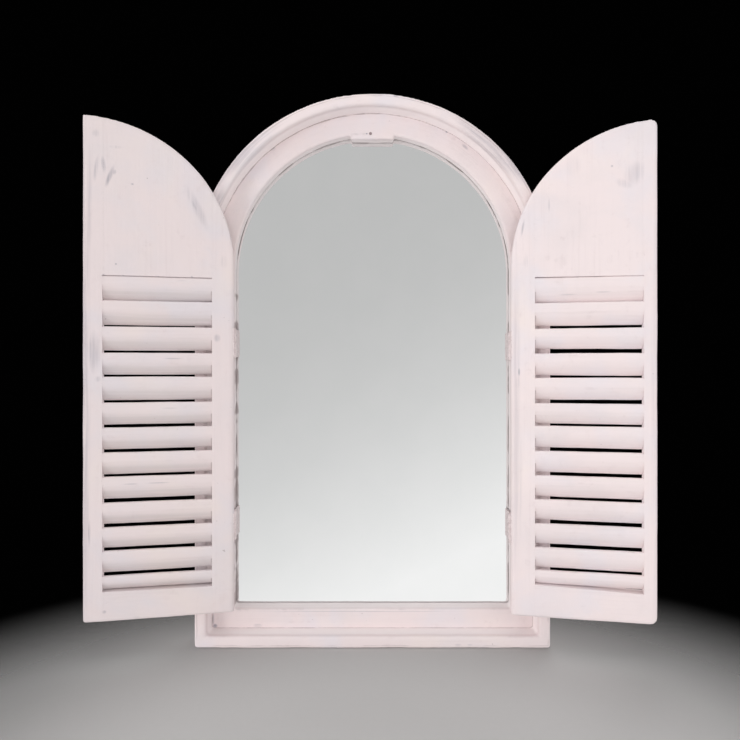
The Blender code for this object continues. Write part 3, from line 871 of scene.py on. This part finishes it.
def shutterPlace(side, sign):
    sizes = shutterSizes
    hingeEdge = sign * (sizes["axisX"] + sizes["edge"])
    meetingEdge = hingeEdge + sign * sizes["width"][side]
    windowX = sorted((hingeEdge + sign * sizes["hingeStile"][side],
                      meetingEdge - sign * sizes["meetingStile"][side]))
    return hingeEdge, meetingEdge, windowX


# Turns a piece of the folded shutter to where it rests in the photograph
def turnToRest(piece, side, sign):
    place = Vector((sign * shutterSizes["axisX"], shutterSizes["axisY"], 0))
    turn = Matrix.Rotation(-sign * shutterSizes["restAngle"][side], 4, "Z")
    piece.matrix_world = Matrix.Translation(place) @ turn @ Matrix.Translation(-place) @ piece.matrix_world
    applyPlace(piece)


def buildBoards(side, sign):
    sizes = shutterSizes
    width, lift = sizes["width"][side], sizes["lift"][side]
    hingeEdge, meetingEdge, windowX = shutterPlace(side, sign)
    foot, head = sizes["foot"] + lift, sizes["head"] + lift
    shoulder = head - width
    lowX, highX = sorted((hingeEdge, meetingEdge))
    boards = addBlock(side + "ShutterBoards", (lowX, boardsFront, foot), (highX, boardsBack, shoulder))
    roundEdges(boards, lambda a, b: abs(a.x - hingeEdge) + abs(b.x - hingeEdge) < millimetre
               and abs(a.y - boardsFront) + abs(b.y - boardsFront) < millimetre, sizes["hingeRound"], 6)
    arch = addDisc("arch", width, meetingEdge, shoulder, boardsFront, boardsBack, sizes["steps"])
    keep = addBlock("keep", (lowX, boardsFront - cutReach, shoulder - cutReach / 2),
                    (highX, boardsBack + cutReach, head + cutReach))
    combine(arch, keep, "INTERSECT")
    combine(boards, arch, "UNION")
    for end, radius in sizes["outerRounds"][side]:
        z, inZ = (head, -1) if end == "head" else (foot, 1)
        roundCorner(boards, meetingEdge, z, -sign, inZ, radius)
    edges = rubbedEdges(boards, shoulder)
    wornSkin(boards, sizes)

    window = addBlock("window", (windowX[0], boardsFront - cutReach, sizes["foot"]),
                      (windowX[1], boardsBack + cutReach, sizes["head"]))
    lines = slatEdges[side]
    for vert in window.data.vertices:
        ends = lines["windowHead"] if vert.co.z > sizes["foot"] + cutReach else lines["windowFoot"]
        near = abs(vert.co.x - hingeEdge) < 2 * sizes["hingeStile"][side]
        vert.co.z = (ends[0] if near else ends[1]) * millimetre + frameFoot + lift
        if not near and vert.co.y > boardsBack:
            vert.co.x += sign * sizes["undercut"]
    combine(boards, window, "DIFFERENCE")
    activate(boards)
    bpy.ops.object.shade_smooth_by_angle(angle=math.radians(40))
    markGrain(boards, boardGrain(side, sign))
    markEdges(boards, edges, sizes["rubReach"])
    return boards


# The profile is laid out on a ring, drawn out along the slat and cut into short lengths
def baseSlat():
    sizes = slatSizes
    profile = sizes["front"] + sizes["back"]
    deselectAll()
    bpy.ops.mesh.primitive_circle_add(vertices=len(profile), radius=1, fill_type="NGON")
    slat = settle("baseSlat")
    for vert, (share, depth) in zip(slat.data.vertices, profile):
        vert.co = (-0.5, sizes["flush"] + depth, 0.5 - share)
    bpy.ops.object.mode_set(mode="EDIT")
    bpy.ops.mesh.select_all(action="SELECT")
    bpy.ops.mesh.extrude_region_move(TRANSFORM_OT_translate={"value": (1, 0, 0)})
    bpy.ops.mesh.select_mode(type="EDGE")
    pickEdges(slat, lambda a, b: abs(a.x - b.x) > 0.5)
    bpy.ops.mesh.subdivide(number_cuts=sizes["lengthCuts"])
    bpy.ops.mesh.select_all(action="SELECT")
    bpy.ops.mesh.normals_make_consistent(inside=False)
    bpy.ops.object.mode_set(mode="OBJECT")
    values = []
    for vert in slat.data.vertices:      # painted shade where the slat curves back
        share = min(max((0.5 - vert.co.z - sizes["dustFrom"]) / sizes["dustOver"], 0), 1)
        values.append(share * share * (3 - 2 * share))
    writeValues(slat, "hollow", values)
    return slat


# The long upper and lower arrises of a slat, which rub through first
def slatArrises(slat):
    columns = {}
    for vert in slat.data.vertices:
        columns.setdefault(round(vert.co.x, 4), []).append(vert.co.copy())
    points = []
    for column in columns.values():
        column.sort(key=lambda co: co.z)
        points += [column[0], min(column[-4:], key=lambda co: co.y)]
    return points


# A copy of the slat, drawn to its own place by a cage whose columns follow the measured edges
def buildSlat(side, sign, number, base):
    sizes = slatSizes
    hingeEdge, meetingEdge, windowX = shutterPlace(side, sign)
    lines = slatEdges[side]
    lowX, highX = windowX[0] - sizes["seat"], windowX[1] + sizes["seat"]
    length, middle = highX - lowX, (lowX + highX) / 2
    slat = copyPiece(base, f"{side}Slat{number:02d}")
    slat.location = (middle, boardsFront, 0)
    slat.scale = (length, 1, 1)
    applyPlace(slat)

    deselectAll()
    bpy.ops.object.add(type="LATTICE", location=(middle, boardsFront + shutterSizes["thickness"] / 2, 0),
                       scale=(length, 2 * shutterSizes["thickness"], 1))
    cage = bpy.context.object
    grid = cage.data
    grid.points_u, grid.points_v, grid.points_w = sizes["columns"], 2, 2
    grid.interpolation_type_u = "KEY_CATMULL_ROM"
    grid.interpolation_type_v = grid.interpolation_type_w = "KEY_LINEAR"
    ends = sorted(abs(x - hingeEdge) / millimetre for x in windowX)
    gap = sizes["headGap"] / millimetre
    for index, point in enumerate(grid.points):
        column, upper = index % sizes["columns"], index >= 2 * sizes["columns"]
        across = abs(lowX + length * column / (sizes["columns"] - 1) - hingeEdge) / millimetre
        if upper and number == 1:
            level = levelAt(ends, lines["windowHead"], across) - gap
        elif upper:
            level = levelAt(lines["across"], lines["head"][number - 2], across)
        elif number == sizes["count"]:
            level = levelAt(ends, lines["windowFoot"], across) + gap
        else:
            level = levelAt(lines["across"], lines["foot"][number - 1], across)
        point.co_deform.z = level * millimetre + frameFoot + shutterSizes["lift"][side]
    shaped = slat.modifiers.new("cage", "LATTICE")
    shaped.object = cage
    addWander(slat, shutterSizes["wander"])
    applyModifiers(slat)
    bpy.data.objects.remove(cage)
    markGrain(slat, lambda point: (point.z + number, point.y, point.x))
    markEdges(slat, slatArrises(slat), sizes["rubReach"])
    activate(slat)
    bpy.ops.object.shade_smooth_by_angle(angle=math.radians(55))
    return slat


for side, sign in sides.items():
    boards = buildBoards(side, sign)
    base = baseSlat()
    slats = [buildSlat(side, sign, number, base) for number in range(1, slatSizes["count"] + 1)]
    bpy.data.objects.remove(base)
    cleanDepth = boardsFront + shutterSizes["nookDepth"]
    markNooks(boards, slats, shutterSizes["nookReach"], cleanDepth)
    for slat in slats:
        markNooks(slat, [boards], slatSizes["nookReach"], cleanDepth)
    # painted shade on the left shutter and painted light on the right, through the paint's level
    tone = shutterSizes["tone"][side]
    boardPaint = makePaint(side + "BoardPaint", marks=shutterMarks[side], markDepth=shutterSizes["markDepth"],
                           tone=tone)
    # the slats also get painted shade where they curve back
    slatPaint = makePaint(side + "SlatPaint", streak=slatSizes["streak"], wear=slatSizes["wear"],
                          dustShare=slatSizes["dust"][side], marks=slatSizes["marks"][side], tone=tone)
    for piece in [boards] + slats:
        turnToRest(piece, side, sign)
        piece.visible_glossy = False    # the glass shows the plain studio, as in the picture
    wood = [f"{side}_{part}" for part in ("hinge_stile", "meeting_stile", "top_panel", "bottom_rail")]
    finishPiece(boards, side + "_shutter", boardPaint, "whitewashed_wood", *wood)
    for number, slat in enumerate(slats, start=1):
        finishPiece(slat, side + "_shutter", slatPaint, "whitewashed_wood", f"{side}_slat_{number:02d}")
    print(side, "shutter", len(boards.data.vertices), len(slats[0].data.vertices))

# Glass, back board, hanger and hinges keep their CAD shapes

def dressNode(name, material):
    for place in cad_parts[name].material_slots:
        place.material = material


# Colours that lie over one another, each where its own noise is strong. A layer is the noise's
# settings, its limits and the colour; the first one also gives the roughness or the bump.
finishLooks = {
    "mirrorSilver": {
        "ground": (0.915, 0.922, 0.918),
        "layers": [((22, 4), (0.3, 0.7), (0.930, 0.934, 0.931)),
                   ((900, 2), (0.80, 0.86, 0.5), (0.60, 0.60, 0.60))],
        "metallic": 1, "roughness": (0.004, 0.022),
    },
    "brownHardboard": {
        "ground": (0.150, 0.092, 0.055), "stretch": (1400, 300, 500),
        "layers": [((1, 3, 0.6, 0.8), (0.35, 0.7), (0.250, 0.165, 0.100)),
                   ((9, 3), (0.45, 0.7, 0.4), (0.300, 0.210, 0.140))],
        "roughness": 0.8, "bump": 0.0001,
    },
    "zincSteel": {
        "ground": (0.46, 0.46, 0.45),
        "layers": [((420, 3), (0.35, 0.65), (0.64, 0.64, 0.62))],
        "metallic": 1, "roughness": (0.28, 0.46),
    },
    "paintedHinge": {
        "ground": (0.840, 0.740, 0.740),
        "layers": [((260, 4, 0.6), (0.35, 0.65), (0.700, 0.600, 0.600)),
                   ((520, 4, 0.6), (0.62, 0.70, 0.8), (0.300, 0.250, 0.240))],
        "roughness": 0.55, "bump": 0.0004,
    },
}


def makeFinish(name):
    look = finishLooks[name]
    material, tree, shader, place = newMaterial(name)
    colour, heights = look["ground"], []
    for texture, limits, over in look["layers"]:
        stretch = look.get("stretch") if not heights else None
        heights.append(noise(stretched(place, stretch) if stretch else place, *texture))
        colour = blendColours(band(heights[-1], *limits), colour, over)
    setInput(shader.inputs["Base Color"], colour)
    shader.inputs["Metallic"].default_value = look.get("metallic", 0)
    rough = look["roughness"]
    varied = isinstance(rough, tuple)
    setInput(shader.inputs["Roughness"], shareOf(heights[0], 0.3, 0.7, *rough) if varied else rough)
    if "bump" in look:
        addBump(shader, [(heights[0], look["bump"])])
    return material


zincSteel = makeFinish("zincSteel")
paintedHinge = makeFinish("paintedHinge")
dressNode("mirror_glass", makeFinish("mirrorSilver"))
dressNode("back_board", makeFinish("brownHardboard"))
dressNode("sawtooth_hanger", zincSteel)
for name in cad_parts:
    if name.startswith(("frame_leaf", "shutter_leaf", "hinge_pin")):
        dressNode(name, paintedHinge)
        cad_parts[name].visible_glossy = False
print("glass, back, hanger and hinges dressed")

# Small fasteners: hinge screws under the paint, hanger nails, brads round the back board and
# the nail in the crown block. Each kind is modelled once, standing on the origin along +Z.

screwSizes = {
    "radius": 0.0019,
    "proud": 0.0002,
    "depth": 0.0008,
    "slotWidth": 0.0006,
    "slotDepth": 0.0003,
    "rows": {            # depth and rise of each screw in a leaf
        "Frame": [(-0.0150, 0.0090), (-0.0230, 0.0), (-0.0150, -0.0090)],
        "Shutter": [(-0.0445, 0.0092), (-0.0475, 0.0), (-0.0445, -0.0092)],
    },
}
nailSizes = {
    "radius": 0.0017,
    "head": 0.00025,
    "shank": 0.0008,
    "length": 0.0012,
    "hangerInset": 0.004,
    "crown": (-0.0022, ledgeFront - 0.0003, -0.0297),
}
bradSizes = {
    "radius": 0.0010,
    "head": 0.0005,
    "shank": 0.0006,
    "length": 0.0090,
    "clear": 0.0001,
    "slip": 0.0045,          # from the rim's wall, and how much that varies
    "scatter": 0.0008,
    "sideHeights": [-0.53, -0.43, -0.33, -0.23],
    "archAngles": [math.radians(turn) for turn in (22, 55, 125, 158)],
    "footPlaces": [-0.11, 0.0, 0.11],
}


def baseScrew():
    sizes = screwSizes
    screw = addRod("baseScrew", sizes["radius"], sizes["proud"] - sizes["depth"], sizes["proud"], 24)
    roundEdges(screw, lambda a, b: a.z > 0 and b.z > 0, sizes["proud"], 2)
    half, bottom = sizes["slotWidth"] / 2, sizes["proud"] - sizes["slotDepth"]
    slot = addBlock("slot", (-half, -cutReach, bottom), (half, cutReach, cutReach))
    combine(screw, slot, "DIFFERENCE")
    return screw


# A shank with a flat head whose rim is rounded off
def baseNail(name, sizes):
    head = sizes["head"]
    nail = addRod(name, sizes["shank"], -sizes["length"], 0, 20)
    cap = addRod("cap", sizes["radius"], -head / 8, head * 7 / 8, 20)
    roundEdges(cap, lambda a, b: a.z > 0 and b.z > 0, head / 2, 2)
    combine(nail, cap, "UNION")
    return nail


# A copy that points along a direction, with a twist about it
def placeFastener(base, name, place, direction, twist, body, material, slotName):
    piece = copyPiece(base, name)
    turn = Vector(direction).to_track_quat("Z", "Y").to_matrix().to_4x4() @ Matrix.Rotation(twist, 4, "Z")
    piece.matrix_world = Matrix.Translation(Vector(place)) @ turn
    applyPlace(piece)
    piece.visible_glossy = False
    finishPiece(piece, body, material, slotName)
    return piece


screw = baseScrew()
for side, sign in sides.items():
    face = sign * (shutterSizes["axisX"] + shutterSizes["edge"])
    for level in ("lower", "upper"):
        pinLow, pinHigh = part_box(f"hinge_pin_{side}_{level}")
        middle = (pinLow.z + pinHigh.z) / 2
        for leaf, rows in screwSizes["rows"].items():
            body = "frame" if leaf == "Frame" else side + "_shutter"
            for number, (y, rise) in enumerate(rows, start=1):
                piece = placeFastener(screw, f"{side}{level.capitalize()}{leaf}Screw{number}",
                                      (face, y, middle + rise), (-sign, 0, 0), random.uniform(0, math.pi),
                                      body, paintedHinge, "painted_hinge")
                if leaf == "Shutter":
                    turnToRest(piece, side, sign)
bpy.data.objects.remove(screw)

nail = baseNail("baseNail", nailSizes)
hangerLow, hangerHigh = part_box("sawtooth_hanger")
inset = nailSizes["hangerInset"]
for number, x in enumerate((hangerLow.x + inset, hangerHigh.x - inset), start=1):
    placeFastener(nail, f"hangerNail{number}", (x, hangerHigh.y, 0), (0, 1, 0), 0, "frame",
                  zincSteel, "zinc_steel")
rustedNail = makePaint("rustedNail", pale=(0.33, 0.25, 0.25), cool=(0.28, 0.23, 0.24),
                       warm=(0.36, 0.27, 0.25), grey=(0.30, 0.26, 0.27))
placeFastener(nail, "crownNail", nailSizes["crown"], (0, -1, 0), 0, "frame", rustedNail, "painted_hinge")
bpy.data.objects.remove(nail)

brad = baseNail("baseBrad", bradSizes)
backLow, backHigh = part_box("back_board")
bradDepth = backHigh.y + bradSizes["radius"] + bradSizes["clear"]
bradPlaces = [((sign * rimRadius, z), (sign, 0)) for sign in (-1, 1) for z in bradSizes["sideHeights"]]
bradPlaces += [((rimRadius * math.cos(a), springHeight + rimRadius * math.sin(a)), (math.cos(a), math.sin(a)))
               for a in bradSizes["archAngles"]]
bradPlaces += [((x, bottomHigh.z), (0, -1)) for x in bradSizes["footPlaces"]]
for number, ((x, z), (outX, outZ)) in enumerate(bradPlaces, start=1):
    slip = bradSizes["slip"] + random.uniform(-bradSizes["scatter"], bradSizes["scatter"])
    placeFastener(brad, f"backBrad{number:02d}", (x - slip * outX, bradDepth, z - slip * outZ),
                  (-outX, 0, -outZ), 0, "frame", zincSteel, "zinc_steel")
bpy.data.objects.remove(brad)
print("fasteners placed")

# Floor, backdrop, lamps and camera

stageLook = {
    "floorSize": 12,
    "floorDrop": 0.0006,
    "floorNear": (0.620, 0.610, 0.605),
    "fadeFrom": 0.16,
    "fadeTo": 0.58,
    "fadeAhead": 0.30,
    "backdrop": (0.0004, 0.0004, 0.0004),
    "ambient": (0.575, 0.575, 0.575),
    "aim": (0, 0, -0.30),
    "lamps": [           # name, place, size, power and tint
        ("keyLamp", (-2.00, -1.90, -0.30), 0.9, 15, (1.0, 0.985, 0.975)),
        ("lowLamp", (0.05, -1.00, -0.53), 0.30, 1.7, (1.0, 0.99, 0.985)),
        ("sideLamp", (-2.60, -0.80, -0.30), 0.5, 12, (1.0, 0.99, 0.985)),
        ("topLamp", (0.00, -0.50, 0.95), 0.7, 2.2, (1.0, 0.99, 0.985)),
        ("fillLamp", (1.9, -2.0, 0.1), 1.4, 10, (0.98, 0.99, 1.0)),
        ("backLamp", (0.9, 2.4, 1.3), 1.6, 26, (1.0, 1.0, 1.0)),
    ],
}
cameraLook = {"place": (0, -0.740, -0.2923), "lens": 31.497, "sensor": 36, "shift": -0.00331, "nearest": 0.01}
# What the glass shows: grey above, growing brighter downwards and to the right
glassLook = {
    "view": [(-0.50, 0.955), (-0.35, 0.945), (-0.22, 0.800), (-0.10, 0.685), (0.0, 0.620), (0.10, 0.575),
             (0.22, 0.552), (0.40, 0.540)],
    "drift": 0.45,
    "leastAhead": 0.2,
}


def buildFloor():
    deselectAll()
    bpy.ops.mesh.primitive_plane_add(size=stageLook["floorSize"],
                                     location=(0, 0, frameFoot - stageLook["floorDrop"]))
    floor = bpy.context.object
    floor.name = "studioFloor"
    material, tree, shader, place = newMaterial("paleFloor")
    dim = [part * 0.97 for part in stageLook["floorNear"]]
    setInput(shader.inputs["Base Color"], blendColours(noise(place, 180, 3), stageLook["floorNear"], dim))
    shader.inputs["Roughness"].default_value = 0.8
    away = lengthOf(stretched(place, shift=(0, stageLook["fadeAhead"], 0)))
    fade = band(away, stageLook["fadeFrom"], stageLook["fadeTo"])
    clear = addNode(tree, "ShaderNodeBsdfTransparent")
    both = addNode(tree, "ShaderNodeMixShader", {0: fade, 1: shader.outputs[0], 2: clear.outputs[0]})
    setInput(tree.nodes["Material Output"].inputs["Surface"], both.outputs[0])
    floor.data.materials.append(material)
    floor.visible_glossy = False


def buildWorld():
    world = bpy.data.worlds.new("studio")
    bpy.context.scene.world = world
    world.use_nodes = True
    tree = world.node_tree
    parts = separated(addNode(tree, "ShaderNodeTexCoord").outputs["Generated"])
    ahead = sums("MAXIMUM", sums("ABSOLUTE", parts[1], 0), glassLook["leastAhead"])
    rise = sums("DIVIDE", parts[2], ahead)
    drift = times(sums("DIVIDE", parts[0], ahead), glassLook["drift"])
    view = glassLook["view"]
    lowest, highest = view[0][0], view[-1][0]
    share = shareOf(sums("SUBTRACT", rise, drift), lowest, highest)
    ramp = addNode(tree, "ShaderNodeValToRGB", {"Fac": share})
    stops = ramp.color_ramp.elements
    while len(stops) < len(view):
        stops.new(0.5)
    for stop, (height, value) in zip(stops, view):
        stop.position = (height - lowest) / (highest - lowest)
        stop.color = (value, value, value, 1)
    rays = addNode(tree, "ShaderNodeLightPath").outputs
    colour = blendColours(rays["Is Camera Ray"], stageLook["ambient"], stageLook["backdrop"])
    colour = blendColours(rays["Is Glossy Ray"], colour, ramp.outputs[0])
    setInput(tree.nodes["Background"].inputs["Color"], colour)


def addLamp(name, place, size, power, tint):
    deselectAll()
    bpy.ops.object.light_add(type="AREA", location=place)
    lamp = bpy.context.object
    lamp.name = name
    lamp.data.size = size
    lamp.data.energy = power
    lamp.data.color = tint
    lamp.visible_glossy = False
    aim = Vector(stageLook["aim"]) - Vector(place)
    lamp.rotation_euler = aim.to_track_quat("-Z", "Y").to_euler()


def addCamera():
    deselectAll()
    bpy.ops.object.camera_add(location=cameraLook["place"], rotation=(math.pi / 2, 0, 0))
    camera = bpy.context.object
    camera.data.sensor_width = cameraLook["sensor"]
    camera.data.lens = cameraLook["lens"]
    camera.data.shift_x = cameraLook["shift"]
    camera.data.clip_start = cameraLook["nearest"]
    bpy.context.scene.camera = camera


buildFloor()
buildWorld()
for lamp in stageLook["lamps"]:
    addLamp(*lamp)
addCamera()
bpy.context.scene.view_settings.view_transform = "Standard"
print("stage set")
